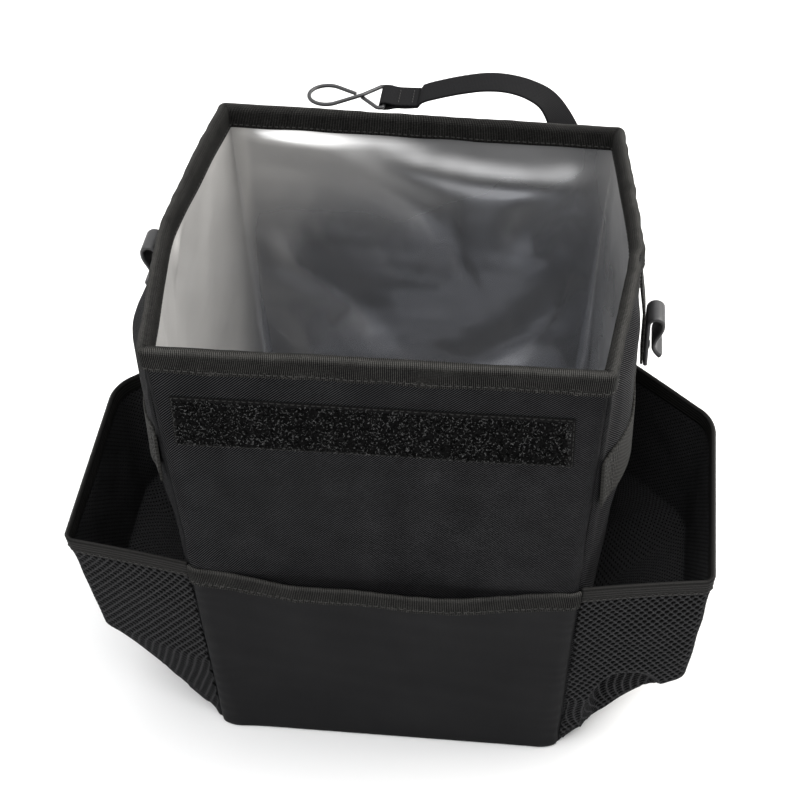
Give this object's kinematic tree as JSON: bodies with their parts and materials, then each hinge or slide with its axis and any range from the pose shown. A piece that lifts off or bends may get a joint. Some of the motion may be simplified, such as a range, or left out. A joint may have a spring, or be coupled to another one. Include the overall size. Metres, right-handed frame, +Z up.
{
  "type": "car trash bin",
  "caption": "Soft-sided open car trash bin with a stiffened body, waterproof liner, pockets, side handles, bag clips and a hanging strap with a wire hook.",
  "frame": {"origin": "centre of the base, on the surface the bin stands on", "axes": "+Z up through the open top, -Y towards the front with the loop strip, +X to the bin's right as seen from the front"},
  "size_m": [0.3562, 0.2559, 0.2973],
  "materials": {
    "outer_fabric": "black twill, visible diagonal weave",
    "pocket_fabric": "black satin-faced fabric",
    "binding_tape": "ribbed tape with a row of stitches",
    "loop_pile": "fuzzy loop pile",
    "mesh": "open knitted mesh",
    "elastic": "ribbed elastic tape",
    "webbing": "ribbed webbing",
    "strap_webbing": "smooth flat webbing",
    "liner_film": "shiny coated film, softly creased",
    "board": "plain stiffener sheet",
    "clip_plastic": "satin moulded plastic",
    "rivet_metal": "dark metal",
    "hook_wire": "dark satin coated wire"
  },
  "bodies": {
    "bin": {"base_panel": "outer_fabric", "front_panel": "outer_fabric", "back_panel": "outer_fabric", "left_panel": "outer_fabric", "right_panel": "outer_fabric", "base_board": "board", "front_board": "board", "back_board": "board", "left_front_board": "board", "left_rear_board": "board", "right_front_board": "board", "right_rear_board": "board", "liner": "liner_film", "rim_binding": "binding_tape", "loop_strip": "loop_pile", "front_pocket": "pocket_fabric", "front_pocket_binding": "binding_tape", "left_mesh_pocket": "mesh", "right_mesh_pocket": "mesh", "left_mesh_binding": "elastic", "right_mesh_binding": "elastic", "left_side_handle": "webbing", "right_side_handle": "webbing", "left_clip_tab": "webbing", "right_clip_tab": "webbing", "left_bag_clip": "clip_plastic", "right_bag_clip": "clip_plastic", "left_clip_rivet": "rivet_metal", "right_clip_rivet": "rivet_metal", "back_strap": "strap_webbing"},
    "hook": {"strap_hook": "hook_wire"}
  },
  "joints": [
    {"name": "hook_swing", "type": "hinge", "parent": "bin", "child": "hook", "pos_m": [-0.0215, 0.124, 0.2845], "axis": [0, 1, 0], "range_deg": [0, 120]}
  ]
}
